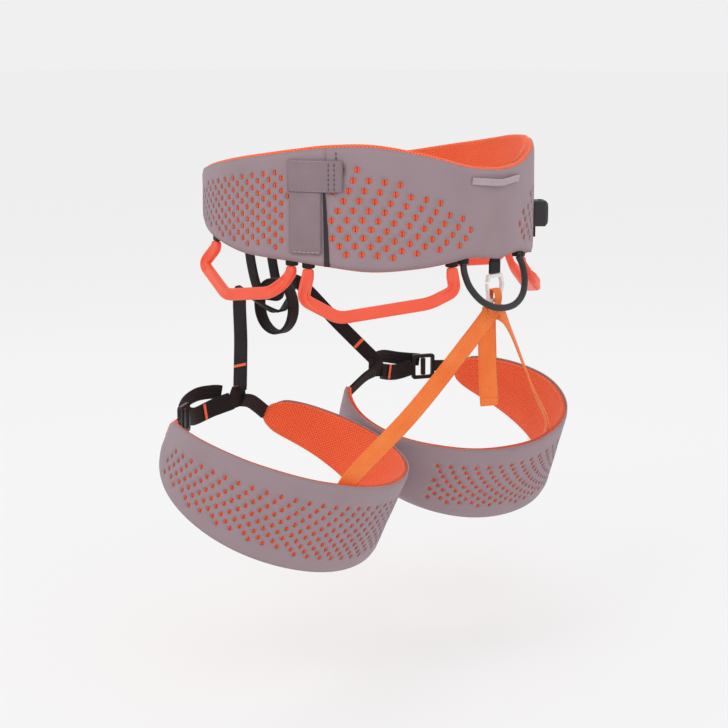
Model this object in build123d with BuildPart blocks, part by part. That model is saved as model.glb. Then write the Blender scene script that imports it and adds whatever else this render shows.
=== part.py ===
from build123d import *
import math
import os

# Climbing harness. The wearer faces -Y, the wearer's left is +X, up is +Z.
# The origin is on the waist belt's centre axis, at the belt's middle height.
# Everything is in millimetres. Pieces of the right side mirror the left ones.

os.makedirs("parts", exist_ok=True)

# Waist belt: a round band, with angles counted from the middle of the back.
BELT_OUTER_R = 146.0
SHELL_T = 2.5
FOAM_T = 6.5
LINING_T = 3.0
FOAM_R = BELT_OUTER_R - SHELL_T
LINING_R = FOAM_R - FOAM_T
BELT_INNER_R = LINING_R - LINING_T
PANEL_SPLIT = 61.5
WING_END = 151.0
STATION_STEP = 6.0
PIPING_RISE = 1.6
# (angle, top edge, bottom edge)
BELT_PROFILE = [
    (0, 29, -45), (13, 32, -42), (21, 37, -45), (31, 43, -48), (47, 50, -50), (62, 49, -46),
    (73, 44, -43), (95, 38, -39), (132, 24, -21), (151, 19, -16),
]

# Leg loops: an elliptic ring in a tilted plane, open at the front of the thigh.
LEG_CENTRE = Vector(114.5, 4.0, -221.8)
LEG_HALF_WIDTH = 104.5
LEG_HALF_DEPTH = 98.0
LEG_YAW = 16.9
LEG_PITCH = -22.0
LEG_ROLL = -8.9
LEG_LATERAL_TIP = -55.0
LEG_MEDIAL_TIP = 223.0
LEG_SHELL_T = 2.0
LEG_FOAM_T = 4.0
LEG_LINING_T = 2.0
LEG_OUTER_OFFSET = 4.0
LEG_STEPS = 36
# (share of the way from the lateral tip round the back to the medial tip, height)
LEG_HEIGHT = [
    (0.0, 18), (0.05, 36), (0.12, 52), (0.22, 68), (0.36, 80), (0.52, 80), (0.64, 74), (0.76, 60),
    (0.88, 46), (0.96, 36), (1.0, 22),
]

# Webbing and cords
WAIST_WEBBING_W = 22.0
LEG_WEBBING_W = 13.0
BUCKLE_WEBBING_W = 16.0
RISER_W = 16.0
WEBBING_T = 2.2
GEAR_LOOP_R = 5.5
HAUL_LOOP_R = 2.8
LOOP_PIVOT_DROP = 9.0
GAP = 0.4


def between(table, x, column=1):
    """Straight-line interpolation in a table that is sorted by its first column."""
    for low, high in zip(table, table[1:]):
        if x <= high[0]:
            share = (x - low[0]) / (high[0] - low[0])
            return low[column] + share * (high[column] - low[column])
    return table[-1][column]


def belt_top(angle):
    return between(BELT_PROFILE, abs(angle), 1)


def belt_bottom(angle):
    return between(BELT_PROFILE, abs(angle), 2)


def around(angle, radius, z):
    """A point at an angle from the middle of the back, positive to the wearer's left."""
    a = math.radians(angle)
    return Vector(radius * math.sin(a), radius * math.cos(a), z)


def belt_plane(angle):
    """A radial section plane of the belt: its x runs outwards and its y runs up."""
    a = math.radians(angle)
    return Plane(origin=(0, 0, 0), x_dir=(math.sin(a), math.cos(a), 0), z_dir=(math.cos(a), -math.sin(a), 0))


def steps(first, last, step):
    count = max(1, round(abs(last - first) / step))
    return [first + (last - first) * i / count for i in range(count + 1)]


def belt_steps(first, last):
    """Stations that all the belt's layers share, so that their faces meet exactly."""
    wing = steps(PANEL_SPLIT + 0.5, WING_END, STATION_STEP)
    rear = steps(-PANEL_SPLIT, PANEL_SPLIT, STATION_STEP)
    every = [-angle for angle in reversed(wing)] + rear + wing
    return [angle for angle in every if first <= angle <= last]


def finish(piece, name):
    piece.part.label = name
    export_step(piece.part, f"parts/{name}.step")


def belt_band(name, stations, r_in, r_out, low, high):
    """A band that follows the belt; low and high are functions of the angle."""
    with BuildPart() as piece:
        for angle in stations:
            bottom = low(angle)
            top = high(angle)
            with BuildSketch(belt_plane(angle)):
                with Locations(((r_in + r_out) / 2, (top + bottom) / 2)):
                    Rectangle(r_out - r_in, top - bottom)
        loft(ruled=True)
    finish(piece, name)
    return piece


def strap(name, points, width, thickness, across, keep=True):
    """A flat strap through the points; across is the direction of its width."""
    points = [Vector(*p) for p in points]
    with BuildPart() as piece:
        for i, point in enumerate(points):
            before = points[max(i - 1, 0)]
            after = points[min(i + 1, len(points) - 1)]
            with BuildSketch(Plane(origin=point, x_dir=across, z_dir=(after - before).normalized())):
                Rectangle(width, thickness)
        loft(ruled=True)
    if keep:
        finish(piece, name)
    return piece


def mirrored(piece, name):
    with BuildPart() as twin:
        mirror(piece.part, about=Plane.YZ)
    finish(twin, name)
    return twin


def tube(name, points, radii, radius):
    """A round bar along straight runs joined by arcs."""
    with BuildPart() as piece:
        with BuildLine() as path:
            FilletPolyline(*points, radius=radii)
        with BuildSketch(Plane(origin=path.wire() @ 0, z_dir=path.wire() % 0)):
            Circle(radius)
        sweep()
    finish(piece, name)
    return piece


# --- Waist belt -------------------------------------------------------------------------------
belt_band("belt_rear_panel", belt_steps(-PANEL_SPLIT, PANEL_SPLIT), FOAM_R, BELT_OUTER_R, belt_bottom, belt_top)
wing = belt_band("belt_left_wing", belt_steps(PANEL_SPLIT + 0.4, WING_END), FOAM_R, BELT_OUTER_R,
                 belt_bottom, belt_top)
mirrored(wing, "belt_right_wing")
belt_band("belt_foam_core", belt_steps(-WING_END, WING_END), LINING_R, FOAM_R, lambda a: belt_bottom(a) + 1.5,
          lambda a: belt_top(a) - 1.5)
belt_band("belt_mesh_lining", belt_steps(-WING_END, WING_END), BELT_INNER_R, LINING_R, belt_bottom,
          lambda a: belt_top(a) + PIPING_RISE)

# Vertical strap of the tool-clip slot on each hip, with its keeper flap above.
SLOT_STRAP_R = BELT_OUTER_R + GAP
slot = belt_band("slot_strap_left", steps(63, 73.5, 3.5), SLOT_STRAP_R, SLOT_STRAP_R + 2.2, lambda a: -36,
                 lambda a: 13.5)
mirrored(slot, "slot_strap_right")
flap = belt_band("keeper_flap_left", steps(56, 74, 3.6), SLOT_STRAP_R, SLOT_STRAP_R + 2.2, lambda a: 14,
                 lambda a: 39)
mirrored(flap, "keeper_flap_right")

# Flat hanging loop at the top of the back, standing a little off the belt in its middle.
with BuildPart() as hanging_loop:
    for hang_angle, stand_off in ((-11, 0.4), (-8, 1.6), (1, 3.4), (10, 1.6), (13, 0.4)):
        with BuildSketch(belt_plane(hang_angle)):
            with Locations((BELT_OUTER_R + stand_off + 0.8, 20)):
                Rectangle(1.6, 8)
    loft(ruled=True)
finish(hanging_loop, "hanging_loop")

# Accessory clip on the right rear, with the tag that hangs below it.
CLIP_ANGLE = -45
CLIP_FACE_R = BELT_OUTER_R + GAP
clip_face = Plane(origin=around(CLIP_ANGLE, CLIP_FACE_R, -16.5),
                  x_dir=(math.cos(math.radians(CLIP_ANGLE)), -math.sin(math.radians(CLIP_ANGLE)), 0),
                  z_dir=around(CLIP_ANGLE, 1, 0))
with BuildPart() as clip:
    with BuildSketch(clip_face):
        RectangleRounded(20, 23, 3)
    extrude(amount=11.5)
    fillet(clip.faces().sort_by(Axis((0, 0, 0), clip_face.z_dir))[-1].edges(), 2)
    with BuildSketch(clip_face.offset(4.5)):
        Rectangle(12, 30)
    extrude(amount=3.5, mode=Mode.SUBTRACT)
finish(clip, "accessory_clip")
with BuildPart() as clip_tag:
    with BuildSketch(clip_face.offset(0.6)):
        with Locations((0, 16.3)):
            Rectangle(11, 9)
    extrude(amount=1.4)
finish(clip_tag, "accessory_clip_tag")

# --- Gear loops -------------------------------------------------------------------------------
LOOP_END_R = 142.0
LOOP_BAR_R = 151.0
# (angle, z) of the loops' corners between their two ends
REAR_ENDS = (68.0, 19.5)
REAR_CORNERS = [(68.5, -72), (57, -86), (29, -75), (20.5, -66)]
FRONT_ENDS = (113.0, 74.0)
FRONT_CORNERS = [(116.5, -54), (99.5, -75), (80, -68.5), (75, -60)]


def loop_end(angle):
    return around(angle, LOOP_END_R, belt_bottom(angle) - LOOP_PIVOT_DROP)


def gear_loop(name, ends, corners):
    points = [loop_end(ends[0])]
    points += [around(a, LOOP_BAR_R, z) for a, z in corners]
    points.append(loop_end(ends[1]))
    return tube(name, points, 7.0, GEAR_LOOP_R)


def anchor_face(angle, radius):
    """The plane of a sewn webbing end that hangs just below the belt's lower edge."""
    along = (math.cos(math.radians(angle)), -math.sin(math.radians(angle)), 0)
    return Plane(origin=around(angle, radius, belt_bottom(angle) - 1.5), x_dir=along, z_dir=(0, 0, -1))


rear_loop = gear_loop("gear_loop_rear_left", REAR_ENDS, REAR_CORNERS)
mirrored(rear_loop, "gear_loop_rear_right")
front_loop = gear_loop("gear_loop_front_left", FRONT_ENDS, FRONT_CORNERS)
mirrored(front_loop, "gear_loop_front_right")
with BuildPart() as loop_anchors:
    for anchor_angle in REAR_ENDS + FRONT_ENDS:
        with BuildSketch(anchor_face(anchor_angle, LOOP_END_R - 1)):
            Rectangle(13, 7)
    extrude(amount=1.6)
finish(loop_anchors, "gear_loop_anchors_left")
mirrored(loop_anchors, "gear_loop_anchors_right")

# --- Haul loop, riser tab and riser hook --------------------------------------------------------
HAUL_ANGLE = 15.0
HAUL_PIVOT_Z = -52.5
HAUL_LOW = Vector(0, 154, -88)
haul_end = around(HAUL_ANGLE, BELT_OUTER_R, HAUL_PIVOT_Z)
with BuildPart() as haul_loop:
    with BuildLine() as haul_path:
        ThreePointArc(haul_end, HAUL_LOW, (-haul_end.X, haul_end.Y, haul_end.Z))
    with BuildSketch(Plane(origin=haul_path.wire() @ 0, z_dir=haul_path.wire() % 0)):
        Circle(HAUL_LOOP_R)
    sweep()
finish(haul_loop, "haul_loop")
with BuildPart() as haul_anchors:
    for side in (-1, 1):
        with BuildSketch(anchor_face(side * HAUL_ANGLE, BELT_OUTER_R - 5)):
            Rectangle(11, 7)
    extrude(amount=1.6)
finish(haul_anchors, "haul_loop_anchors")

HOOK_Y = 141.0
HOOK_TOP = -57.0
TAB_W = 13.0
with BuildPart() as riser_tab:
    with BuildSketch(Plane.XZ.offset(-HOOK_Y - 1.1)):
        with Locations((0, (HOOK_TOP - 0.4 - 46.2) / 2)):
            Rectangle(TAB_W, -46.2 - HOOK_TOP - 0.4)
    extrude(amount=2.2)
finish(riser_tab, "riser_tab")

HOOK_T = 3.0
hook_face = Plane.XZ.offset(-HOOK_Y - HOOK_T / 2)
with BuildPart() as riser_hook:
    with BuildSketch(hook_face):
        with BuildLine():
            Polyline((-9, HOOK_TOP - 0.6), (9, HOOK_TOP - 0.6), (12, HOOK_TOP - 10), (7, HOOK_TOP - 24),
                     (-7, HOOK_TOP - 24), (-12, HOOK_TOP - 10), close=True)
        make_face()
        offset(amount=-2.8, mode=Mode.SUBTRACT)
        with Locations((12, HOOK_TOP - 15)):
            Rectangle(16, 17, mode=Mode.SUBTRACT)
    extrude(amount=HOOK_T)
finish(riser_hook, "riser_hook")
GATE_TOP = Vector(10.2, HOOK_Y, HOOK_TOP - 8.0)
GATE_FOOT = Vector(7.6, HOOK_Y, HOOK_TOP - 22.6)
gate = strap("hook_gate", [GATE_TOP, GATE_FOOT], 2.4, 2.0, (0, 1, 0))

# --- Leg loop frame ---------------------------------------------------------------------------
leg_frame = Location(LEG_CENTRE) * Location((0, 0, 0), (0, LEG_ROLL, 0)) * Location((0, 0, 0), (LEG_PITCH, 0, 0))
leg_frame = leg_frame * Location((0, 0, 0), (0, 0, LEG_YAW))
leg_home = Plane(leg_frame)


def leg_point(turn, offset, height):
    """A point of the left leg loop, at a turn round its ellipse, an offset outwards and a height."""
    t = math.radians(turn)
    normal = Vector(math.cos(t) / LEG_HALF_WIDTH, math.sin(t) / LEG_HALF_DEPTH, 0).normalized()
    local = Vector(LEG_HALF_WIDTH * math.cos(t), LEG_HALF_DEPTH * math.sin(t), height) + normal * offset
    return leg_home.from_local_coords(local)


def leg_plane(turn):
    origin = leg_point(turn, 0, 0)
    outward = (leg_point(turn, 1, 0) - origin).normalized()
    up = (leg_point(turn, 0, 1) - origin).normalized()
    return Plane(origin=origin, x_dir=outward, z_dir=outward.cross(up))


# --- Elastic risers -----------------------------------------------------------------------------
RISER_TURN = 62.0
RISER_OFFSET = -LEG_OUTER_OFFSET - 4.2
riser_knee = leg_point(RISER_TURN, RISER_OFFSET, 42)
riser_foot = leg_point(RISER_TURN, RISER_OFFSET, 14)
riser = strap("riser_left", [(7, 142, -90), (22, 140, -104), (80, 122, -164), riser_knee, riser_foot],
              RISER_W, 1.8, (0.7, -0.25, 0.68))
mirrored(riser, "riser_right")
strap("riser_tail", [(0, 136.5, -84), (0, 134.5, -110), (0, 135.5, -140), (0, 138, -170)], RISER_W, 1.8, (1, 0, 0))
with BuildPart() as riser_bight:
    with BuildSketch(Plane.YZ):
        with Locations((HOOK_Y, HOOK_TOP - 17.2)):
            Rectangle(9, 7.4)
            offset(amount=-1.8, mode=Mode.SUBTRACT)
    extrude(amount=4.2, both=True)
finish(riser_bight, "riser_bight")

# --- Front: waist webbing, buckle, tie-in loops, belay loop --------------------------------------
FRONT_R = 140.0
half_waist = WAIST_WEBBING_W / 2
belt_band("waist_webbing_left", steps(WING_END + 0.3, 171, STATION_STEP), FRONT_R - 1.2, FRONT_R + 1.2, lambda a: -half_waist,
          lambda a: half_waist)
belt_band("waist_webbing_right", steps(-WING_END - 0.3, -171, STATION_STEP), FRONT_R - 1.2, FRONT_R + 1.2, lambda a: -half_waist,
          lambda a: half_waist)
belt_band("waist_strap_tail", steps(-176, -112, STATION_STEP), BELT_OUTER_R + 2.4, BELT_OUTER_R + 4.6, lambda a: -half_waist,
          lambda a: half_waist)
with BuildPart() as waist_keeper:
    for keep_angle in (-138.0, -132.0):
        with BuildSketch(belt_plane(keep_angle)):
            with Locations((BELT_OUTER_R + 3.5, 0)):
                Rectangle(6.2, WAIST_WEBBING_W + 5)
                Rectangle(3.4, WAIST_WEBBING_W + 1.6, mode=Mode.SUBTRACT)
    loft(ruled=True)
finish(waist_keeper, "waist_tail_keeper")


def plain_buckle(name, face, width, length, bar):
    """A flat rounded frame with one window; the face's x runs along the strap."""
    with BuildPart() as piece:
        with BuildSketch(face):
            RectangleRounded(length, width, 3)
            RectangleRounded(length - 2 * bar, width - 2 * bar, 1.5, mode=Mode.SUBTRACT)
        extrude(amount=3)
    finish(piece, name)
    return piece


def slider_bar(name, face, height, width):
    with BuildPart() as piece:
        with BuildSketch(face.offset(0.4)):
            RectangleRounded(width, height, 1)
        extrude(amount=2.2)
    finish(piece, name)
    return piece


waist_face = Plane(origin=(0, -FRONT_R + 1.5, 0), x_dir=(1, 0, 0), z_dir=(0, -1, 0))
plain_buckle("waist_buckle_frame", waist_face, 32, 30, 4)
slider_bar("waist_buckle_slider", waist_face, 23, 5)

TIE_LEG_X = 14.0
strap("upper_tie_in_loop",
      [(TIE_LEG_X, -139, -16.6), (TIE_LEG_X, -137, -60), (13, -129, -92), (9, -122, -102), (0, -119.5, -105),
       (-9, -122, -102), (-13, -129, -92), (-TIE_LEG_X, -137, -60), (-TIE_LEG_X, -139, -16.6)],
      12, 2.6, (0, 1, 0))
BELAY_CENTRE = (-116.0, -111.0)
with BuildPart() as belay_loop:
    with BuildSketch(Plane.YZ):
        with Locations(BELAY_CENTRE):
            Ellipse(24, 27)
            Ellipse(20.6, 23.6, mode=Mode.SUBTRACT)
    extrude(amount=7, both=True)
finish(belay_loop, "belay_loop")

JUNCTION = Vector(92, -70, -177)
strap("leg_bridge",
      [(92, -70.5, -172), (38, -125, -93), (24, -121, -103), (8, -114, -114), (0, -112.5, -115.5),
       (-8, -114, -114), (-24, -121, -103), (-38, -125, -93), (-92, -70.5, -172)],
      LEG_WEBBING_W, WEBBING_T, (0, 1, -0.35))

# --- Leg loops ----------------------------------------------------------------------------------
def leg_band(name, offset_in, offset_out, trim):
    with BuildPart() as piece:
        for i in range(LEG_STEPS + 1):
            share = i / LEG_STEPS
            turn = LEG_LATERAL_TIP + share * (LEG_MEDIAL_TIP - LEG_LATERAL_TIP)
            with BuildSketch(leg_plane(turn)):
                with Locations(((offset_in + offset_out) / 2, 0)):
                    Rectangle(offset_out - offset_in, between(LEG_HEIGHT, share) - 2 * trim)
        loft(ruled=True)
    finish(piece, f"{name}_left")
    mirrored(piece, f"{name}_right")


foam_out = LEG_OUTER_OFFSET - LEG_SHELL_T
foam_in = foam_out - LEG_FOAM_T
leg_band("leg_shell", foam_out, LEG_OUTER_OFFSET, 0)
leg_band("leg_foam_core", foam_in, foam_out, 1.5)
leg_band("leg_mesh_lining", foam_in - LEG_LINING_T, foam_in, 0)

medial_tip = leg_point(LEG_MEDIAL_TIP, 0, 0)
lateral_tip = leg_point(LEG_LATERAL_TIP, 0, 0)
leg_up = (leg_point(0, 0, 1) - leg_point(0, 0, 0)).normalized()
tip_gap = 1.6
medial_in = (medial_tip - JUNCTION).normalized()
lateral_in = (lateral_tip - Vector(166, -66, -186)).normalized()

BUCKLE_MIDDLE = Vector(160, -69, -186)
buckle_along = Vector(0.88, 0.47, 0).normalized()
buckle_out = buckle_along.cross(Vector(0, 0, 1))
medial = strap("leg_medial_strap_left",
               [JUNCTION + Vector(-3, 0, -4), (76, -72, -185), medial_tip - medial_in * tip_gap],
               LEG_WEBBING_W, WEBBING_T, leg_up)
mirrored(medial, "leg_medial_strap_right")
with BuildPart() as junction_patch:
    with BuildSketch(Plane(origin=JUNCTION + Vector(1, -2.2, 0), x_dir=(1, 0.1, 0), z_dir=(0, -1, 0))):
        with BuildLine():
            Polyline((-9, 8), (5, 9), (12, -4), (9, -11), (-10, -9), close=True)
        make_face()
    extrude(amount=2.0)
finish(junction_patch, "leg_junction_left")
mirrored(junction_patch, "leg_junction_right")
load_strap = strap("leg_load_strap_left",
                   [JUNCTION + Vector(9, -2, -3), (113, -83, -186), (134, -83, -190),
                    BUCKLE_MIDDLE - buckle_along * 13.6],
                   BUCKLE_WEBBING_W, WEBBING_T, (0, 0, 1))
mirrored(load_strap, "leg_load_strap_right")
tip_strap = strap("leg_tip_strap_left",
                  [BUCKLE_MIDDLE + buckle_along * 12.5, lateral_tip - lateral_in * tip_gap],
                  LEG_WEBBING_W, WEBBING_T, leg_up)
mirrored(tip_strap, "leg_tip_strap_right")
leg_face = Plane(origin=BUCKLE_MIDDLE - buckle_out * 1.5, x_dir=buckle_along, z_dir=buckle_out)
leg_buckle = plain_buckle("leg_buckle_frame_left", leg_face, 25, 24, 3.5)
mirrored(leg_buckle, "leg_buckle_frame_right")
leg_slider = slider_bar("leg_buckle_slider_left", leg_face, 17, 4.5)
mirrored(leg_slider, "leg_buckle_slider_right")
tail = strap("leg_strap_tail_left",
             [BUCKLE_MIDDLE + buckle_out * 5 - buckle_along * 2 + Vector(0, 0, 6), (140, -93, -172),
              (122, -96, -168), (107, -88, -171)],
             LEG_WEBBING_W, WEBBING_T, (0, 0.15, 1))
mirrored(tail, "leg_strap_tail_right")
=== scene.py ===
"""Climbing harness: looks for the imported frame. Metres, +Z up, the wearer faces -Y."""
import math

import bmesh
import bpy
from mathutils import Euler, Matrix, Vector
from mathutils.geometry import delaunay_2d_cdt


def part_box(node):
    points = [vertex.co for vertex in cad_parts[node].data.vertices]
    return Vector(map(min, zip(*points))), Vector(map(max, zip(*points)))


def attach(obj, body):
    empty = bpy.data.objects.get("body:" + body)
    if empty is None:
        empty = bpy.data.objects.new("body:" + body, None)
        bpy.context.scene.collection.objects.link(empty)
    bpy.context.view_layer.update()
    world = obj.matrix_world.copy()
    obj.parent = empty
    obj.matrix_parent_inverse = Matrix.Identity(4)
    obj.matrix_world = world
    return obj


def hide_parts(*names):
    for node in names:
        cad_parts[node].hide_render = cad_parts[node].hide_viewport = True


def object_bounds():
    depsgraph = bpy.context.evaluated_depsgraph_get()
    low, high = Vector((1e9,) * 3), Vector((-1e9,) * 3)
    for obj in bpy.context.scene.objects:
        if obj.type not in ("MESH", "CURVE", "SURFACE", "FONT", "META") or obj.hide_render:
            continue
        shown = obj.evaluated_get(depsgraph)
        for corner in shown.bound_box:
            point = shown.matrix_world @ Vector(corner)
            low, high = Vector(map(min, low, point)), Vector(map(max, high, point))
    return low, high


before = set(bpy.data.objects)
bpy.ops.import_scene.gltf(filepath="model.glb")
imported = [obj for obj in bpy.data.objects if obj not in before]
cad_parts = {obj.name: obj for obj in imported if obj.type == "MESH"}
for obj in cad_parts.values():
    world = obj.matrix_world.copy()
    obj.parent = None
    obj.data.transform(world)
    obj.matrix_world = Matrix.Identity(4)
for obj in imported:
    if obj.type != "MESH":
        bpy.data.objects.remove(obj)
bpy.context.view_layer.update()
MM = 0.001

# The belt's band: its edges are (degrees from the middle of the back, top, bottom), in millimetres.
BELT_MID_R = 139 * MM
BELT_PROFILE = [(0, 29, -45), (13, 32, -42), (21, 37, -45), (31, 43, -48), (47, 49.5, -50), (62, 49, -46),
                (73, 45.8, -43), (84, 42, -41.2), (95, 38.2, -39), (132, 24, -21), (151, 19, -16)]
PANEL_SPLIT = 61.5
WING_END = 151.0
# The leg loops' band, for the left one: its edges are (share of the length from the outer tip, top, bottom).
LEG_CENTRE = Vector((114.5, 4.0, -221.8)) * MM
LEG_HALF_WIDTH = 104.5 * MM
LEG_HALF_DEPTH = 98 * MM
LEG_TURNS = (-8.9, -22.0, 16.9)
LEG_LATERAL_TIP = -55.0
LEG_MEDIAL_TIP = 223.0
LEG_EDGES = [(0.0, 10.5, -17), (0.05, 17.5, -27), (0.12, 25.5, -34.5), (0.22, 34, -40), (0.36, 40, -42),
             (0.52, 40, -41), (0.64, 37, -37), (0.76, 30, -30), (0.88, 23, -23), (0.96, 18, -18),
             (1.0, 11, -11)]
ROOT = "harness"
SIDES = ((1, "left"), (-1, "right"))
UP = Vector((0, 0, 1))
ACROSS = Vector((1, 0, 0))
FRONT = Vector((0, -1, 0))


# --- Small tools ----------------------------------------------------------------------------
def smooth_table(table, x, column=1):
    """A smooth curve through a table sorted by its first column."""
    x = min(max(x, table[0][0]), table[-1][0])
    i = 0
    while i < len(table) - 2 and x > table[i + 1][0]:
        i += 1

    def slope(k):
        a = table[max(k - 1, 0)]
        b = table[min(k + 1, len(table) - 1)]
        return (b[column] - a[column]) / (b[0] - a[0])

    low, high = table[i], table[i + 1]
    width = high[0] - low[0]
    t = (x - low[0]) / width
    return ((2 * t**3 - 3 * t**2 + 1) * low[column] + (t**3 - 2 * t**2 + t) * width * slope(i)
            + (-2 * t**3 + 3 * t**2) * high[column] + (t**3 - t**2) * width * slope(i + 1))


def ease(x):
    """0 below 0, 1 above 1, and a smooth step between."""
    x = min(max(x, 0.0), 1.0)
    return x * x * (3 - 2 * x)


def make(name, verts, faces, mat, body=ROOT, uvs=None):
    """A mesh piece that rides on a body; uvs holds one (u, v) for each vertex, in metres."""
    mesh = bpy.data.meshes.new(name)
    mesh.from_pydata([tuple(v) for v in verts], [], faces)
    mesh.update()
    if uvs:
        layer = mesh.uv_layers.new(name="flat")
        for loop in mesh.loops:
            layer.data[loop.index].uv = uvs[loop.vertex_index]
    mesh.materials.append(mat)
    obj = bpy.data.objects.new(name, mesh)
    bpy.context.scene.collection.objects.link(obj)
    mesh.shade_smooth()
    if body:
        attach(obj, body)
    return obj


def fix_normals(obj):
    bm = bmesh.new()
    bm.from_mesh(obj.data)
    bmesh.ops.recalc_face_normals(bm, faces=bm.faces)
    bm.to_mesh(obj.data)
    bm.free()


def tube(rings, count, start=0):
    """Faces of a closed tube: rings of count vertices that follow one another, with both ends shut."""
    faces = []
    for low in range(start, start + (rings - 1) * count, count):
        for k in range(count):
            n = (k + 1) % count
            faces.append((low + k, low + n, low + count + n, low + count + k))
    faces.append(tuple(start + k for k in range(count)))
    faces.append(tuple(start + (rings - 1) * count + k for k in reversed(range(count))))
    return faces


def sweep(name, centres, across, profile, mat, slot, body=ROOT, ends=(1.0, 1.0), reshape=None):
    """A closed profile carried along a path; across gives the profile's x direction at each point.

    reshape, if given, returns the profile for each point instead; ends scales the first and the last one.
    """
    verts, uvs = [], []
    length = 0.0
    last = len(centres) - 1
    for i, centre in enumerate(centres):
        before, after = centres[max(i - 1, 0)], centres[min(i + 1, last)]
        along = (after - before).normalized()
        x = across(i) if callable(across) else across
        x = (x - along * x.dot(along)).normalized()
        y = along.cross(x)
        if i:
            length += (centre - centres[i - 1]).length
        scale = {0: ends[0], last: ends[1]}.get(i, 1.0)
        girth = 0.0
        section = reshape(i) if reshape else profile
        for k, (px, py) in enumerate(section):
            if k:
                girth += math.hypot(px - section[k - 1][0], py - section[k - 1][1])
            verts.append(centre + x * px * scale + y * py * scale)
            uvs.append((girth, length))
    faces = tube(len(centres), len(section))
    obj = make(name, verts, faces, mat, body, uvs)
    fix_normals(obj)
    return obj


def curve_through(points, per=8):
    """Catmull-Rom points through the given ones."""
    points = [Vector(p) for p in points]
    out = []
    for i in range(len(points) - 1):
        p0, p1 = points[max(i - 1, 0)], points[i]
        p2, p3 = points[i + 1], points[min(i + 2, len(points) - 1)]
        for k in range(per):
            t = k / per
            out.append(0.5 * ((2 * p1) + (p2 - p0) * t + (2 * p0 - 5 * p1 + 4 * p2 - p3) * t * t
                              + (3 * p1 - p0 - 3 * p2 + p3) * t**3))
    out.append(points[-1])
    return out


def rounded_path(points, radius, per=7, spacing=0.006):
    """Straight runs with each corner rounded."""
    out = [points[0]]
    for i in range(1, len(points) - 1):
        a, b, c = points[i - 1], points[i], points[i + 1]
        reach = min(radius, (a - b).length * 0.45, (c - b).length * 0.45)
        start = b + (a - b).normalized() * reach
        stop = b + (c - b).normalized() * reach
        run = start - out[-1]
        pieces = max(1, int(run.length / spacing))
        for k in range(1, pieces):
            out.append(start - run * (1 - k / pieces))
        for k in range(per + 1):
            t = k / per
            out.append(start * (1 - t)**2 + b * 2 * t * (1 - t) + stop * t * t)
    out.append(points[-1])
    return out


def flat_profile(width, thickness, side=3, ridges=0, depth=0.0):
    """A strap's section: flat, with rounded edges and, if asked, fine ridges along it."""
    half, r = width / 2, thickness / 2
    steps = max(2, ridges * 2 or 6)
    out = []
    for k in range(steps + 1):
        x = -half + r + (width - 2 * r) * k / steps
        out.append((x, -r + (depth if ridges and k % 2 else 0)))
    for k in range(1, side):
        a = -math.pi / 2 + math.pi * k / side
        out.append((half - r + r * math.cos(a), r * math.sin(a)))
    for k in range(steps + 1):
        x = half - r - (width - 2 * r) * k / steps
        out.append((x, r - (depth if ridges and k % 2 else 0)))
    for k in range(1, side):
        a = math.pi / 2 + math.pi * k / side
        out.append((-half + r + r * math.cos(a), r * math.sin(a)))
    return out


def block_profile(width, thickness, radius):
    """A rounded rectangle."""
    out = []
    for cx, cy, start in ((1, 1, 0), (-1, 1, 90), (-1, -1, 180), (1, -1, 270)):
        for k in range(4):
            a = math.radians(start + 30 * k)
            out.append((cx * (width / 2 - radius) + radius * math.cos(a),
                        cy * (thickness / 2 - radius) + radius * math.sin(a)))
    return out


# --- Materials ------------------------------------------------------------------------------
class Nodes:
    """A short way to write a material's node tree."""

    def __init__(self, name, color, roughness, **inputs):
        self.material = bpy.data.materials.new(name)
        self.material.use_nodes = True
        self.tree = self.material.node_tree
        self.shader = self.tree.nodes["Principled BSDF"]
        self.shader.inputs["Base Color"].default_value = (*color, 1)
        self.shader.inputs["Roughness"].default_value = roughness
        for key, value in inputs.items():
            self.shader.inputs[key.replace("_", " ")].default_value = value

    def node(self, kind, **values):
        node = self.tree.nodes.new(kind)
        for key, value in values.items():
            if hasattr(node, key):
                setattr(node, key, value)
            else:
                node.inputs[key.replace("_", " ")].default_value = value
        return node

    def link(self, a, b):
        self.tree.links.new(a, b)

    def math(self, operation, a, b=None, c=None):
        node = self.node("ShaderNodeMath", operation=operation)
        for socket, value in zip(node.inputs, (a, b, c)):
            if value is None:
                continue
            if isinstance(value, (int, float)):
                socket.default_value = value
            else:
                self.link(value, socket)
        return node.outputs[0]

    def flat(self):
        """The piece's flat coordinates, in metres."""
        uv = self.node("ShaderNodeUVMap", uv_map="flat")
        split = self.node("ShaderNodeSeparateXYZ")
        self.link(uv.outputs[0], split.inputs[0])
        return split.outputs[0], split.outputs[1]

    def place(self):
        return self.node("ShaderNodeTexCoord").outputs["Object"]

    def noise(self, where, scale, detail=3.0):
        noise = self.node("ShaderNodeTexNoise", Scale=scale, Detail=detail)
        self.link(where, noise.inputs["Vector"])
        return noise.outputs["Fac"]

    def ribs(self, coordinate, pitch):
        """A row of soft ridges, one each pitch metres, from 0 to 1."""
        wave = self.math("SINE", self.math("MULTIPLY", coordinate, 2 * math.pi / pitch))
        return self.math("MULTIPLY_ADD", wave, 0.5, 0.5)

    def bump(self, height, distance, strength=1.0):
        bump = self.node("ShaderNodeBump", Distance=distance, Strength=strength)
        self.link(height, bump.inputs["Height"])
        self.link(bump.outputs[0], self.shader.inputs["Normal"])

    def tint(self, factor, dark, light):
        mix = self.node("ShaderNodeMix", data_type="RGBA")
        mix.inputs["A"].default_value = (*dark, 1)
        mix.inputs["B"].default_value = (*light, 1)
        self.link(factor, mix.inputs["Factor"])
        self.link(mix.outputs["Result"], self.shader.inputs["Base Color"])


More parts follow.
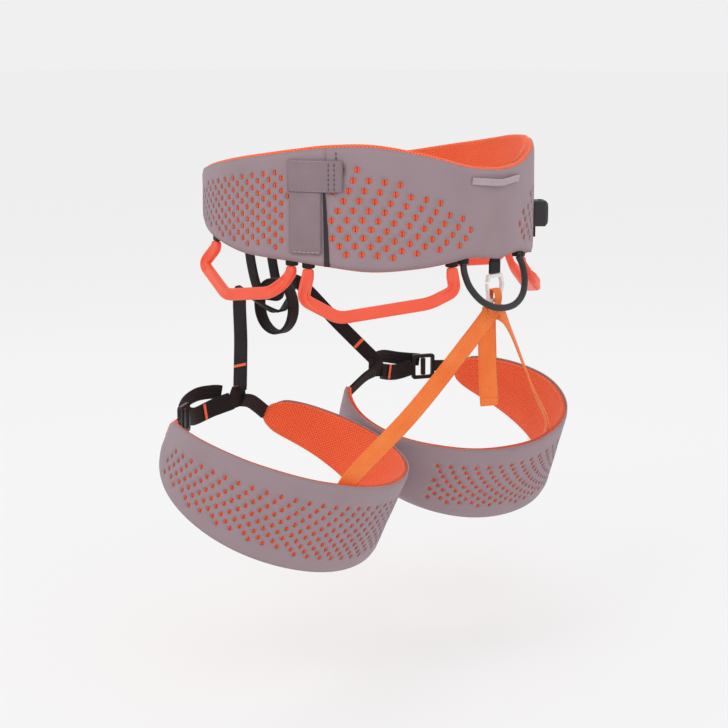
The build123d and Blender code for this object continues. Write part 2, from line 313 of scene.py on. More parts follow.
def shell_material():
    m = Nodes("shell_knit", (0.33, 0.245, 0.27), 0.78, Sheen_Weight=0.12, Sheen_Roughness=0.5,
              Specular_IOR_Level=0.2)
    u, v = m.flat()
    stitch = m.math("MULTIPLY", m.math("SINE", m.math("MULTIPLY", u, 2 * math.pi / 0.0011)),
                    m.math("SINE", m.math("MULTIPLY", v, 2 * math.pi / 0.0014)))
    wide = m.noise(m.place(), 38.0, 4.0)
    fine = m.noise(m.place(), 900.0, 2.0)
    m.tint(m.math("ADD", m.math("MULTIPLY", stitch, 0.12), m.math("MULTIPLY_ADD", wide, 0.9, 0.5)),
           (0.262, 0.188, 0.208), (0.345, 0.258, 0.283))
    m.bump(m.math("ADD", stitch, m.math("MULTIPLY", fine, 0.8)), 0.00012, 0.55)
    return m.material


def mesh_material(name, dark, light, pitch=0.0031):
    """Perforated lining: staggered pinholes in a soft sheet."""
    m = Nodes(name, light, 0.72, Sheen_Weight=0.08, Specular_IOR_Level=0.25)
    u, v = m.flat()
    row = m.math("SINE", m.math("MULTIPLY", m.math("ADD", u, v), math.pi / pitch))
    column = m.math("SINE", m.math("MULTIPLY", m.math("SUBTRACT", u, v), math.pi / pitch))
    both = m.math("MULTIPLY", m.math("MULTIPLY", row, row), m.math("MULTIPLY", column, column))
    hole = m.math("MULTIPLY", m.math("GREATER_THAN", both, 0.6), 0.85)
    wide = m.noise(m.place(), 30.0, 3.0)
    soft = m.math("ADD", m.math("MULTIPLY", wide, 0.35), 0.7)
    m.tint(m.math("SUBTRACT", soft, hole), dark, light)
    m.bump(m.math("MULTIPLY", both, -1.0), 0.0005, 0.9)
    return m.material


def webbing_material(name, dark, light, pitch=0.0016, roughness=0.66, sheen=0.05):
    """Tight woven tape: a herringbone of short yarns."""
    m = Nodes(name, light, roughness, Sheen_Weight=sheen, Specular_IOR_Level=0.22)
    u, v = m.flat()
    zig = m.math("ABSOLUTE", m.math("SINE", m.math("MULTIPLY", u, math.pi / (pitch * 2.4))))
    slant = m.math("ADD", v, m.math("MULTIPLY", zig, pitch * 0.9))
    yarn = m.math("SINE", m.math("MULTIPLY", slant, 2 * math.pi / pitch))
    wide = m.noise(m.place(), 60.0, 3.0)
    m.tint(m.math("ADD", m.math("MULTIPLY", yarn, 0.22), wide), dark, light)
    m.bump(yarn, 0.0002, 0.7)
    return m.material


def elastic_material():
    """Elastic tape: fine ribs lengthwise, crossed by faint short stitches."""
    m = Nodes("riser_elastic", (1.0, 0.21, 0.04), 0.62, Sheen_Weight=0.05, Specular_IOR_Level=0.25)
    u, v = m.flat()
    rib = m.ribs(u, 0.0017)
    cross = m.ribs(v, 0.0009)
    wide = m.noise(m.place(), 50.0, 3.0)
    m.tint(m.math("ADD", m.math("MULTIPLY", rib, 0.3), wide), (0.90, 0.125, 0.016), (1.0, 0.27, 0.062))
    m.bump(m.math("ADD", rib, m.math("MULTIPLY", cross, 0.2)), 0.00035, 0.8)
    return m.material


def moulded_material(name, color, roughness, grain=1400.0, depth=0.00004, coat=0.0):
    """Moulded plastic, metal or thread: one colour, faintly mottled, with a fine grain."""
    m = Nodes(name, color, roughness, Coat_Weight=coat, Coat_Roughness=0.25)
    wide = m.noise(m.place(), 45.0, 3.0)
    fine = m.noise(m.place(), grain, 2.0)
    dark = tuple(c * 0.86 for c in color)
    light = tuple(min(1.0, c * 1.1 + 0.01) for c in color)
    m.tint(wide, dark, light)
    m.link(m.math("MULTIPLY_ADD", wide, 0.16, roughness - 0.08), m.shader.inputs["Roughness"])
    m.bump(fine, depth, 0.6)
    return m.material


ORANGE_DARK = (0.66, 0.045, 0.015)
ORANGE_LIGHT = (1.0, 0.165, 0.055)
SHELL = shell_material()
LINING = mesh_material("lining_mesh", ORANGE_DARK, ORANGE_LIGHT)
PLASTIC = moulded_material("loop_moulding", (0.96, 0.095, 0.036), 0.4, coat=0.1)
LINING_BACK = moulded_material("lining_back", (1.0, 0.125, 0.04), 0.75, 1800.0, 0.00006)
ELASTIC = elastic_material()
BLACK_TAPE = webbing_material("black_tape", (0.006, 0.0045, 0.005), (0.019, 0.0135, 0.015))
FLAP = webbing_material("flap_fabric", (0.275, 0.20, 0.222), (0.35, 0.262, 0.288), 0.0009)
LOOP_TAPE = webbing_material("hanging_tape", (0.40, 0.315, 0.355), (0.56, 0.45, 0.50), 0.0014)
HOOK = moulded_material("hook_moulding", (0.80, 0.79, 0.77), 0.35, coat=0.2)
CLIP = moulded_material("clip_moulding", (0.016, 0.0145, 0.015), 0.45, 900.0, 0.00008)
CORD = moulded_material("coated_cord", (0.013, 0.0105, 0.0115), 0.55, 2500.0, 0.0001)
ALLOY = moulded_material("anodised_alloy", (0.022, 0.022, 0.024), 0.34, 2200.0, 0.00003)
ALLOY.node_tree.nodes["Principled BSDF"].inputs["Metallic"].default_value = 0.85
THREAD_ORANGE = moulded_material("orange_thread", (0.98, 0.17, 0.05), 0.6)
THREAD_DARK = moulded_material("dark_thread", (0.12, 0.085, 0.10), 0.7)
THREAD_GREY = moulded_material("grey_thread", (0.40, 0.32, 0.345), 0.65)
# Near-black colour for the strip that paints the shadow in the split between the rear panel and the wing,
# beside each slot strap.
SPLIT_GAP_SHADOW = moulded_material("painted_split_shadow", (0.022, 0.012, 0.016), 0.7)
DOT_RIB = moulded_material("dot_rib", (0.50, 0.045, 0.022), 0.7)


# --- Bands: the belt and the leg loops --------------------------------------------------------
class BeltBand:
    """Belt surface: s is the arc length from the middle of the back, positive to the left."""

    def low(self, s):
        return smooth_table(BELT_PROFILE, abs(self.angle(s)), 2) * MM

    def high(self, s):
        return smooth_table(BELT_PROFILE, abs(self.angle(s)), 1) * MM

    def angle(self, s):
        return math.degrees(s / BELT_MID_R)

    def along(self, angle):
        return math.radians(angle) * BELT_MID_R

    def point(self, s, v, offset):
        a = s / BELT_MID_R
        r = BELT_MID_R + offset
        return Vector((r * math.sin(a), r * math.cos(a), v))


class LegBand:
    """Leg loop surface: s runs from the lateral tip round the back to the medial tip."""

    def __init__(self, side):
        self.side = side
        roll, pitch, yaw = (math.radians(t) for t in LEG_TURNS)
        self.turn_matrix = (Euler((0, roll, 0)).to_matrix() @ Euler((pitch, 0, 0)).to_matrix()
                            @ Euler((0, 0, yaw)).to_matrix())
        # The arc length from the lateral tip up to each of the turn's equal steps.
        self.lengths = [0.0]
        count = 400
        for i in range(count):
            a, b = (math.radians(self.turn_at(k / count)) for k in (i, i + 1))
            step = math.hypot(LEG_HALF_WIDTH * (math.cos(b) - math.cos(a)),
                              LEG_HALF_DEPTH * (math.sin(b) - math.sin(a)))
            self.lengths.append(self.lengths[-1] + step)
        self.length = self.lengths[-1]

    def turn_at(self, share):
        return LEG_LATERAL_TIP + share * (LEG_MEDIAL_TIP - LEG_LATERAL_TIP)

    def share(self, s):
        low, high = 0, len(self.lengths) - 1
        while high - low > 1:
            middle = (low + high) // 2
            if self.lengths[middle] <= s:
                low = middle
            else:
                high = middle
        part = (s - self.lengths[low]) / (self.lengths[high] - self.lengths[low])
        return (low + part) / (len(self.lengths) - 1)

    def high(self, s):
        return smooth_table(LEG_EDGES, min(max(self.share(s), 0), 1), 1) * MM

    def low(self, s):
        return smooth_table(LEG_EDGES, min(max(self.share(s), 0), 1), 2) * MM

    def point(self, s, v, offset):
        return self.at_turn(self.turn_at(self.share(s)), v, offset)

    def at_turn(self, turn, v, offset):
        t = math.radians(turn)
        normal = Vector((math.cos(t) / LEG_HALF_WIDTH, math.sin(t) / LEG_HALF_DEPTH, 0)).normalized()
        local = Vector((LEG_HALF_WIDTH * math.cos(t), LEG_HALF_DEPTH * math.sin(t), v)) + normal * offset
        p = LEG_CENTRE + self.turn_matrix @ local
        return Vector((p.x * self.side, p.y, p.z))


def dip(s, v):
    """How far the padded outside sinks at a place, at most half a millimetre."""
    wave = math.sin(s * 62 + 1.7 * math.sin(v * 55)) * math.sin(v * 88 + s * 21)
    return -0.25 * MM * (1 + wave)


def pad(name, band, s0, s1, inner, outer, rise, drop, mat, nodes, tip):
    """The padded body of a band: a rounded section that thins towards its ends and edges.

    inner and outer are its faces' offsets, rise and drop widen it past the band's edges, and tip is how long
    each rounded end is.
    """
    stations, rows, cap = 150, 14, 5
    verts, uvs = [], []
    mid, half = (inner + outer) / 2, (outer - inner) / 2
    for i in range(stations + 1):
        s = s0 + (s1 - s0) * i / stations
        from_end = min(s - s0, s1 - s)
        close = math.sqrt(max(0.0, 1 - (1 - min(from_end / tip, 1.0))**2))
        low, high = band.low(s) - drop, band.high(s) + rise
        centre, reach = (low + high) / 2, (high - low) / 2 * (0.55 + 0.45 * close)
        thick = half * (0.35 + 0.65 * close)
        ring = []
        straight = reach - thick
        for k in range(rows + 1):
            t = -1 + 2 * k / rows
            ring.append((thick, t * straight))
        for k in range(1, cap):
            a = math.pi * k / cap
            ring.append((thick * math.cos(a), straight + thick * math.sin(a)))
        for k in range(rows + 1):
            t = 1 - 2 * k / rows
            soft = 1 - 0.22 * abs(t)**3
            ring.append((-thick * soft, t * straight))
        for k in range(1, cap):
            a = math.pi + math.pi * k / cap
            ring.append((thick * math.cos(a), -straight + thick * math.sin(a)))
        for x, v in ring:
            ripple = 0.00035 * math.sin(s * 95 + v * 40) * math.sin(v * 120)
            verts.append(band.point(s, centre + v, mid + x + (ripple if x < 0 else dip(s, centre + v))))
            uvs.append((s, centre + v if x >= 0 else 0.1 - centre - v))
    count = len(ring)
    obj = make(name, verts, tube(stations + 1, count), mat, ROOT, uvs)
    obj.data.materials.append(LINING_BACK)
    for i in range(stations):
        for k in range(rows):
            obj.data.polygons[i * count + k].material_index = 1
    fix_normals(obj)
    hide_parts(*nodes)


def dots(band, s0, s1, radius, pitch, shifts, drops, top, bottom):
    """Centres of the punched dots, row by row, in millimetres except for s0, s1 and pitch.

    Row n is shifted along by shifts[0] * n + shifts[1] * n * n, and drops sinks it in the same way, from
    drops[2] below the band's top edge. top and bottom give the bare margin at each place.
    """
    most_rows, spare = 18, 14
    out = []
    for row in range(most_rows):
        shift = shifts[0] * row + shifts[1] * row * row
        fall = drops[0] * row + drops[1] * row * row
        for i in range(-spare, int((s1 - s0) / pitch) + spare):
            s = s0 + i * pitch + shift * MM
            if not s0 < s < s1:
                continue
            v = band.high(s) - drops[2] * MM - fall * MM
            if band.low(s) + bottom(s) * MM < v < band.high(s) - top(s) * MM:
                out.append((s, v, radius * MM))
    return out


# The shells' mesh: its spacing, the cells that holes are looked up in, how far it stays inside the
# band's edges, the holes' shape, and how deep and wide its edges roll over.
GRID = 0.0045
CELL = 0.01
INSET = 0.0005
HOLE_SIDES = 12
HOLE_TALL = 1.06
HOLE_MARGIN = 0.0014
ROLL_DEPTH = 0.0011
ROLL_WIDTH = 0.0045
TIP_ROLL_WIDTH = 0.006


def perforated(name, band, s0, s1, outer, thickness, holes, nodes, tips=(0.0, 0.0)):
    """A knitted shell with real punched holes, laid on a band; tips gives the length of each rounded end."""

    def edge(s, which):
        """The height of the bottom (0) or top (1) edge."""
        low, high = band.low(s) + INSET, band.high(s) - INSET
        middle = (low + high) / 2
        close = 1.0
        for end, tip in ((s - s0, tips[0]), (s1 - s, tips[1])):
            if tip and end < tip:
                close = min(close, 0.35 + 0.65 * math.sqrt(max(0.0, 1 - (1 - end / tip)**2)))
        return middle + ((high if which else low) - middle) * close

    steps = int((s1 - s0) / GRID)
    flat = []
    for begin, stop, which in ((s0, s1, 0), (s1, s0, 1)):
        here = [begin + (stop - begin) * i / steps for i in range(steps + 1)]
        flat += [Vector((s, edge(s, which))) for s in here]
        near, far = edge(stop, which), edge(stop, 1 - which)
        rise = max(2, int(abs(far - near) / GRID))
        flat += [Vector((stop, near + (far - near) * k / rise)) for k in range(1, rise)]
    edges = [(i, (i + 1) % len(flat)) for i in range(len(flat))]
    cells = {}
    for s, v, r in holes:
        start = len(flat)
        for k in range(HOLE_SIDES):
            a = 2 * math.pi * k / HOLE_SIDES
            flat.append(Vector((s + r * math.cos(a), v + r * HOLE_TALL * math.sin(a))))
        edges += [(start + k, start + (k + 1) % HOLE_SIDES) for k in range(HOLE_SIDES)]
        cells.setdefault((int(s / CELL), int(v / CELL)), []).append((s, v, r))

    def near_hole(s, v, extra):
        for i in (-1, 0, 1):
            for k in (-1, 0, 1):
                for hs, hv, r in cells.get((int(s / CELL) + i, int(v / CELL) + k), ()):
                    if math.hypot(s - hs, v - hv) < r + extra:
                        return True
        return False

    for i in range(1, steps):
        s = s0 + (s1 - s0) * i / steps
        low, high = edge(s, 0), edge(s, 1)
        rows = max(2, int((high - low) / GRID))
        for k in range(1, rows):
            stagger = 0.5 if i % 2 and 1 < k < rows - 1 else 0
            v = low + (high - low) * (k + stagger) / rows
            if not near_hole(s, v, HOLE_MARGIN):
                flat.append(Vector((s, v)))
    points, _, triangles, *_ = delaunay_2d_cdt(flat, edges, [], 1, 1e-7)
    faces = []
    for triangle in triangles:
        s = sum(points[i].x for i in triangle) / 3
        v = sum(points[i].y for i in triangle) / 3
        if not near_hole(s, v, -0.00005):
            faces.append(tuple(triangle))
    verts, uvs = [], []
    for p in points:
        s, v = p
        distance = min(v - edge(s, 0), edge(s, 1) - v)
        roll = ROLL_DEPTH * (1 - ease(distance / ROLL_WIDTH))
        for end, tip in ((s - s0, tips[0]), (s1 - s, tips[1])):
            if tip:
                roll = max(roll, ROLL_DEPTH * (1 - ease(end / TIP_ROLL_WIDTH)))
        verts.append(band.point(s, v, outer - roll + dip(s, v)))
        uvs.append((s, v))
    obj = make(name, verts, faces, SHELL, ROOT, uvs)
    sample = obj.data.polygons[len(obj.data.polygons) // 2]
    s, v = uvs[sample.vertices[0]]
    if sample.normal.dot(band.point(s, v, 0.001) - band.point(s, v, 0.0)) < 0:
        obj.data.flip_normals()
    solid = obj.modifiers.new("sheet", "SOLIDIFY")
    solid.thickness = thickness
    solid.offset = -1.0
    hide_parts(*nodes)


def dot_threads(name, band, holes, offset):
    """The short knitted rib that shows in the middle of each punched dot."""
    verts, faces = [], []
    for s, v, r in holes:
        start = len(verts)
        for end in (-0.8, 0.8):
            for x, lift in ((-0.00038, 0), (0, 0.00045), (0.00038, 0)):
                verts.append(band.point(s + x, v + end * r, offset + lift + dip(s, v)))
        faces += [(start, start + 1, start + 4, start + 3), (start + 1, start + 2, start + 5, start + 4),
                  (start, start + 3, start + 5, start + 2), (start, start + 2, start + 1),
                  (start + 3, start + 4, start + 5)]
    fix_normals(make(name, verts, faces, DOT_RIB, ROOT))


def stitches(name, points, normal, mat, length=0.0026, gap=0.0012, width=0.0005):
    """A row of sewn stitches along a path, each a small six-sided bead."""
    verts, faces = [], []
    run = 0.0
    for a, b in zip(points, points[1:]):
        along = b - a
        size = along.length
        if size < 1e-6:
            continue
        along = along / size
        while run + length < size:
            head, foot = a + along * run, a + along * (run + length)
            up = (normal - along * normal.dot(along)).normalized()
            side = along.cross(up)
            round_off = along * length * 0.2
            rings = ((head, 0.25), (head + round_off, 1.0), (foot - round_off, 1.0), (foot, 0.25))
            faces += tube(len(rings), 6, len(verts))
            for centre, scale in rings:
                for k in range(6):
                    t = 2 * math.pi * k / 6
                    verts.append(centre + (side * math.cos(t) + up * math.sin(t) * 0.7) * width * scale)
            run += length + gap
        run = max(0.0, run - size)
    fix_normals(make(name, verts, faces, mat))


# --- Waist belt -------------------------------------------------------------------------------
belt = BeltBand()
PAD_OUT = 5.8 * MM
SHELL_OUT = 6.6 * MM
SHELL_T = 1.3 * MM
SPLIT_GAP = 0.06
pad("belt_pad", belt, belt.along(-WING_END), belt.along(WING_END), -5.0 * MM, PAD_OUT, 1.8 * MM, 0.6 * MM,
    LINING, ["belt_foam_core", "belt_mesh_lining"], 0.012)

rear_end = belt.along(PANEL_SPLIT)
half_rear = dots(belt, belt.along(11), rear_end - 2 * MM, 2.5, 12 * MM, (2.3, 0.24), (8.8, -0.12, 9.5),
                 lambda s: 9 + 0.70 * (PANEL_SPLIT - belt.angle(s)), lambda s: 10.5)
rear_holes = [(s * side, v, r) for side in (1, -1) for s, v, r in half_rear]
perforated("belt_rear_shell", belt, -rear_end, rear_end, SHELL_OUT, SHELL_T, rear_holes, ["belt_rear_panel"])
dot_threads("belt_rear_dot_ribs", belt, rear_holes, PAD_OUT)


def above_wing_holes(s):
    """The bare margin above a wing's dots, in millimetres; it widens towards the wing's tip."""
    return 14 + 0.16 * max(0, 118 - belt.angle(s)) * 0.2 + 9 * ease((belt.angle(s) - 112) / 20)


wing_holes = dots(belt, belt.along(74.4), belt.along(136), 2.15, 11.4 * MM, (-5.7, 0.0), (5.0, 0.0, 15.5),
                  above_wing_holes, lambda s: 8)
for side, word in SIDES:
    holes = [(s * side, v, r) for s, v, r in wing_holes]
    first, last = sorted((side * belt.along(PANEL_SPLIT + SPLIT_GAP), side * belt.along(WING_END)))
    tips = (0.0, 0.01) if side > 0 else (0.01, 0.0)
    perforated(f"belt_{word}_wing_shell", belt, first, last, SHELL_OUT, SHELL_T, holes, [f"belt_{word}_wing"],
               tips)
    dot_threads(f"belt_{word}_dot_ribs", belt, holes, PAD_OUT)


def belt_strap(name, angles, low, high, offset, thickness, mat, slot, nodes):
    """A flat piece laid on the belt, with rounded edges; low and high in millimetres."""
    count = 14
    centres = [belt.point(belt.along(angles[0] + (angles[1] - angles[0]) * i / count), (low + high) / 2 * MM,
                          offset + thickness / 2) for i in range(count + 1)]
    obj = sweep(name, centres, UP, flat_profile((high - low) * MM, thickness), mat, slot, ends=(0.985, 0.985))
    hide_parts(*nodes)


OVER_SHELL = SHELL_OUT + 0.25 * MM
FLAP_T = 1.9 * MM
for side, word in SIDES:
    belt_strap(f"slot_strap_{word}_tape", (side * 63, side * 73.5), -36, 13.8, OVER_SHELL, FLAP_T, FLAP,
               "shell_fabric", [f"slot_strap_{word}"])
    belt_strap(f"keeper_flap_{word}_tape", (side * 56, side * 74), 13.6, 39, OVER_SHELL + 0.3 * MM, FLAP_T,
               FLAP, "shell_fabric", [f"keeper_flap_{word}"])
    outward = belt.point(belt.along(side * 60), 0, 1) - belt.point(belt.along(side * 60), 0, 0)
    for k, seam_angle in enumerate((58.6, 60.4)):
        seam_s = belt.along(side * seam_angle)
        rail = [belt.point(seam_s, z * MM, OVER_SHELL + 2.35 * MM) for z in (15, 26, 38)]
        stitches(f"flap_{word}_seam_{k}", rail, outward, THREAD_DARK)
    hem = [belt.point(belt.along(side * a), -34.2 * MM, OVER_SHELL + 2.05 * MM) for a in (63.6, 68, 73)]
    stitches(f"slot_{word}_hem", hem, outward, THREAD_GREY)
    seam = [belt.point(belt.along(side * 58.2), z * MM, SHELL_OUT + 0.1 * MM) for z in (39.5, 43, 47.6)]
    stitches(f"belt_{word}_seam", seam, outward, THREAD_DARK, gap=0.0004)
    edge_path = [belt.point(belt.along(side * a), z * MM, SHELL_OUT - 0.2 * MM)
                 for a, z in ((61.2, -45.6), (61.5, -20), (61.9, 4), (62.1, 13.4))]
    steps = curve_through(edge_path, 6)
    # A near-black strip runs along the split between the rear panel and the wing, beside the slot strap. It
    # is painted shadow for that gap, 4.6 mm wide at the bottom and 1.6 mm at the top.
    sweep(f"belt_{word}_split_shadow_strip", steps, UP.cross(outward), None, SPLIT_GAP_SHADOW, "shell_fabric",
          reshape=lambda i: flat_profile((4.6 - 3.0 * i / (len(steps) - 1)) * MM, 1.1 * MM))
    for k, z in enumerate((38.2, 14.6)):
        rail = [belt.point(belt.along(side * a), z * MM, OVER_SHELL + 2.3 * MM) for a in (61.5, 67, 73)]
        stitches(f"flap_{word}_edge_{k}", rail, outward, THREAD_GREY, 0.0018, 0.0012,
                 width=0.00035)

hang = [belt.point(belt.along(a), z * MM, SHELL_OUT + lift * MM)
        for a, z, lift in ((-11, 20, 0.4), (-7, 20, 1.6), (1, 18.5, 3.4), (9, 20, 1.6), (13, 21, 0.4))]
hanging = sweep("hanging_tape", curve_through(hang, 6), Vector((0, 0.25, 1)),
                flat_profile(6.4 * MM, 1.4 * MM), LOOP_TAPE, "loop_tape")
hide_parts("hanging_loop")

# --- Gear loops, haul loop ---------------------------------------------------------------------
LOOP_END_R = 142.0
LOOP_BAR_R = 151.0
# For each pair: the angles of its two ends on the belt, then each corner's angle and height.
GEAR_LOOPS = {
    "rear": ((68.0, 19.5), [(68.5, -72), (57, -86), (29, -75), (20.5, -66)]),
    "front": ((113.0, 74.0), [(116.5, -54), (99.5, -75), (80, -68.5), (75, -60)]),
}


def around(angle, radius, z, side=1):
    """A point at an angle from the middle of the back, in degrees and millimetres."""
    a = math.radians(angle)
    return Vector((side * radius * math.sin(a), radius * math.cos(a), z)) * MM


def low_edge(angle):
    """The belt's lower edge, straight between the table's rows, in millimetres."""
    for low, high in zip(BELT_PROFILE, BELT_PROFILE[1:]):
        if angle <= high[0]:
            return low[2] + (angle - low[0]) / (high[0] - low[0]) * (high[2] - low[2])
    return BELT_PROFILE[-1][2]


# The moulded bar's section, in millimetres, and the points on its outer face that the groove sinks.
LOOP_OUTLINE = ((-5.2, -0.6), (-4.7, -2.2), (-3.4, -3.4), (-1.3, -3.9), (1.3, -3.9), (3.4, -3.4), (4.7, -2.2),
                (5.2, -0.6), (5.2, 1.1), (4.6, 2.7), (3.2, 3.5), (2.3, 3.35), (0.0, 3.3), (-2.3, 3.35),
                (-3.2, 3.5), (-4.6, 2.7), (-5.2, 1.1))
LOOP_FACE = range(11, 14)


def loop_section(groove, size):
    """A moulded bar; groove sinks the middle of its outer face, in millimetres."""
    return [(x * MM * size, (y - (groove if k in LOOP_FACE else 0)) * MM * size)
            for k, (x, y) in enumerate(LOOP_OUTLINE)]


def gear_bar(part, ends, corners, side, word):
    """A gear loop: from one belt edge down round its four corners and back up."""
    tops = [around(a, LOOP_END_R, low_edge(a) - 3.4, side) for a in ends]
    pivots = [around(a, LOOP_END_R + 0.6, low_edge(a) - 9.5, side) for a in ends]
    bends = [around(a, LOOP_BAR_R, z, side) for a, z in corners]
    path = rounded_path([tops[0], pivots[0], *bends, pivots[1], tops[1]], 6.5 * MM)
    out = around((ends[0] + ends[1]) / 2, 1, 0, side).normalized()
    run = [0.0]
    for a, b in zip(path, path[1:]):
        run.append(run[-1] + (b - a).length)

    def across(i):
        along = (path[min(i + 1, len(path) - 1)] - path[max(i - 1, 0)]).normalized()
        return out.cross(along)

    def section(i):
        """Grooved along the uprights, and slimmer towards the ends."""
        from_end = min(run[i], run[-1] - run[i])
        upright = ease((from_end - 8 * MM) / (4 * MM)) * ease((34 * MM - from_end) / (6 * MM))
        return loop_section(0.3 + 2.1 * upright, 0.86 + 0.14 * ease(from_end / (9 * MM)))

    piece = sweep(f"{part}_{word}_gear_bar", path, across, None, PLASTIC, "loop_plastic",
                  f"{part}_{word}_loop", reshape=section)
    smooth = piece.modifiers.new("round", "SUBSURF")
    smooth.levels = smooth.render_levels = 1
    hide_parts(f"gear_loop_{part}_{word}")


STUB_SIDES = 16
STUB_IN_R, STUB_OUT_R = 138.2, 144.0


def stubs(name, angles, half_angle, node):
    """The sewn tape ends that hold loops under the belt's lower edge, as one piece."""
    verts, faces = [], []
    for angle in angles:
        low = low_edge(abs(angle))
        top, bottom = low + 2.0, low - 3.6
        rings = ((top, 1.0), (bottom + 1.2, 1.0), (bottom + 0.4, 0.94), (bottom, 0.8))
        faces += tube(len(rings), STUB_SIDES, len(verts))
        for z, scale in rings:
            for k in range(STUB_SIDES):
                t = 2 * math.pi * k / STUB_SIDES
                x, y = (math.copysign(abs(f(t))**0.35, f(t)) * scale for f in (math.cos, math.sin))
                radius = (STUB_IN_R + STUB_OUT_R) / 2 + (STUB_OUT_R - STUB_IN_R) / 2 * y
                verts.append(around(angle + half_angle * x, radius, z))
    obj = make(name, verts, faces, BLACK_TAPE, ROOT, [(v.x, v.z) for v in verts])
    fix_normals(obj)
    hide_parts(node)


for part, (ends, corners) in GEAR_LOOPS.items():
    for side, word in SIDES:
        gear_bar(part, ends, corners, side, word)
stubs("gear_stubs_left", (19.5, 68, 74, 113), 2.0, "gear_loop_anchors_left")
stubs("gear_stubs_right", (-19.5, -68, -74, -113), 2.0, "gear_loop_anchors_right")
stubs("haul_stubs", (15, -15), 1.9, "haul_loop_anchors")

HAUL_R = 2.8 * MM
HAUL_LINE = [(15.2, 142.5, -46.5), (15.6, 146, -54), (14.4, 149.5, -65), (10.8, 152.3, -76),
             (5.6, 153.6, -82.6), (0, 154, -84.4)]
haul_points = [around(*p) for p in HAUL_LINE] + [around(-a, r, z) for a, r, z in reversed(HAUL_LINE[:-1])]
haul_turns = [2 * math.pi * k / 14 for k in range(14)]
circle = [(HAUL_R * math.cos(t), HAUL_R * math.sin(t)) for t in haul_turns]
haul = sweep("haul_cord", curve_through(haul_points, 6), Vector((0, 1, 0.25)), circle, CORD, "haul_rubber",
             "haul_ring")
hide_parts("haul_loop")


# --- Straps -----------------------------------------------------------------------------------
def mirrored(points, side):
    """The points as they are for side 1, and mirrored for side -1."""
    return [Vector((p[0] * side, p[1], p[2])) for p in points]


def strap(name, points, width, thickness, across, mat, slot, nodes, body=ROOT, side=1, per=8, ridges=0):
    """A strap through the points; across is its width's direction, or several that it turns through."""
    path = curve_through(mirrored(points, side), per)
    ways = across if isinstance(across[0], tuple) else [across]
    turns = [way.normalized() for way in mirrored(ways, side)]

    def turn(i):
        place = i / (len(path) - 1) * (len(turns) - 1)
        k = min(int(place), max(len(turns) - 2, 0))
        return turns[k] if len(turns) == 1 else turns[k].lerp(turns[k + 1], ease(place - k))

    obj = sweep(name, path, turn, flat_profile(width, thickness, ridges=ridges, depth=0.16 * MM), mat,
                slot, body, (0.97, 0.97))
    if nodes:
        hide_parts(*nodes)


def millimetres(points):
    return [Vector(p) * MM for p in points]


def tack(name, start, stop, across, reach, lift, side):
    """A bar-tack across a strap, between two of its points, sewn through to both faces."""
    start, stop, across = mirrored((start, stop, across), side)
    middle = (start + stop) / 2
    along = (stop - start).normalized()
    x = (across - along * across.dot(along)).normalized()
    for face, word in ((1, "out"), (-1, "in")):
        up = along.cross(x) * face
        rows = []
        for k in range(5):
            at = middle + along * (k - 2) * 0.55 * MM + up * lift * MM
            pair = [at - x * reach * MM, at + x * reach * MM]
            rows += pair if k % 2 else pair[::-1]
        stitches(f"{name}_{word}", rows, up, THREAD_ORANGE, 0.0022, 0.0001)


def both_ways(points):
    """The left half of a line, then its mirror image, back from the middle point."""
    return points + [(-x, y, z) for x, y, z in reversed(points[:-1])]


BLACK = (BLACK_TAPE, "black_webbing")
RISER = (ELASTIC, "elastic_webbing")
RISER_T = 1.7 * MM
WAIST_WIDTH, WAIST_T = 22 * MM, 2.0 * MM
LEG_WIDTH, LEG_T = 13 * MM, 2.2 * MM

# The two risers, their tail, and the sewn stack where they meet. The right riser twists until it is edge-on.
leg = {1: LegBand(1), -1: LegBand(-1)}
RISER_OFFSET = -8.2 * MM
RISER_TURNS = {"left": (0.7, -0.25, 0.68),
               "right": [(0.7, -0.25, 0.68), (0.75, -0.6, 0.1), (0.743, -0.669, -0.19), (0.75, -0.62, 0.1)]}
riser_line = millimetres([(7, 142, -90), (22, 140, -104), (80, 122, -164)])
riser_line += [leg[1].at_turn(62, v * MM, RISER_OFFSET) for v in (42, 14)]
for side, word in SIDES:
    strap(f"riser_{word}_tape", riser_line, 16 * MM, RISER_T, RISER_TURNS[word], *RISER, [f"riser_{word}"],
          side=side, ridges=7)
riser_tail_line = millimetres([(0, 136.5, -84), (0, 134.5, -110), (0, 135.5, -140), (0, 138, -170)])
RISER_TAIL_TURNS = [(1, 0, 0), (0.85, -0.5, 0), (0.78, -0.62, 0)]
strap("riser_tail_tape", riser_tail_line, 16.5 * MM, RISER_T, RISER_TAIL_TURNS, *RISER, ["riser_tail"],
      ridges=7)
for k, z in enumerate((-163, -166.5)):
    row = millimetres([(-5.6, 142.9, z), (5.6, 134.0, z)])
    stitches(f"riser_tail_hem_{k}", row, Vector((0.6, 0.8, 0)), THREAD_ORANGE, 0.002, 0.0008,
             width=0.0007)
stack = millimetres([(x, 139.4, -90.5) for x in (-9.4, -8.8, 8.8, 9.4)])
sweep("riser_joint_stack", stack, UP, block_profile(12 * MM, 8.2 * MM, 1.6 * MM), *RISER, ends=(0.86, 0.86))
for k, (z0, z1) in enumerate(((-86, -86), (-95, -95), (-86, -95), (-95, -86))):
    row = millimetres([(-7, 143.7, z0), (7, 143.7, z1)])
    stitches(f"riser_joint_row_{k}", row, Vector((0, 1, 0)), THREAD_ORANGE, 0.002, 0.0006,
             width=0.0004)
strap("riser_tab_root", millimetres([(0, 141, z) for z in (-43, -45, -47.4)]), LEG_WIDTH, LEG_T, ACROSS,
      *BLACK, None)
LEVER = ((157.4, -26), (158.3, -24), (158.5, -16.5), (158.3, -9), (157.4, -7))
sweep("clip_lever", curve_through([around(45, r, z, -1) for r, z in LEVER], 4), Vector((1, 1, 0)),
      flat_profile(15 * MM, 1.8 * MM, ridges=7, depth=0.5 * MM), CLIP, "clip_plastic")
bight = millimetres([(0, 144.6, -84), (0, 145.6, -77), (0, 143.9, -71.2), (0, 140, -70.4), (0, 136.9, -73),
                     (0, 136.4, -86)])
